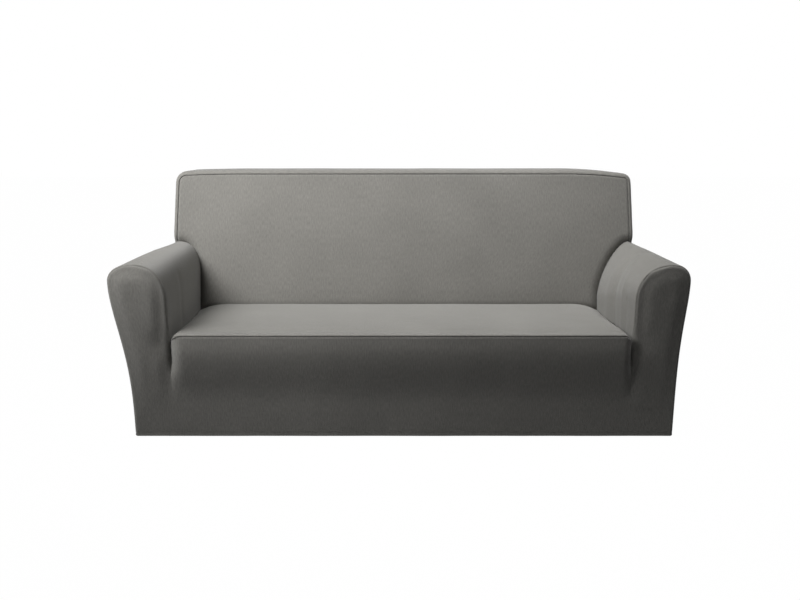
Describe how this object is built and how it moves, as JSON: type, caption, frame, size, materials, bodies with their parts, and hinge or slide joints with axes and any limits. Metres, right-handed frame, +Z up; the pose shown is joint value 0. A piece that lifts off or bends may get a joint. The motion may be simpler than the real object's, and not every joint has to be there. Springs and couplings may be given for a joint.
{
  "type": "sofa slipcover",
  "caption": "Fitted stretch slipcover in the shape of a sofa with rolled arms, a level back and a plain skirtless hem; hollow inside, open underneath.",
  "frame": {"origin": "middle of the box around the cover, at the hem's level, where the hem meets the floor's height", "axes": "+X to the right as one faces the sofa, along its length; +Y from the arm fronts to the back; +Z up"},
  "size_m": [2.126, 0.9343, 0.967],
  "materials": {
    "cover_cloth": "plain fine stretch knit, matt, mid warm grey"
  },
  "bodies": {
    "root": {"seat_panel": "cover_cloth", "inside_back_panel": "cover_cloth", "front_panel": "cover_cloth", "left_arm_panel": "cover_cloth", "right_arm_panel": "cover_cloth", "back_boxing": "cover_cloth", "outside_back_panel": "cover_cloth"}
  },
  "joints": []
}
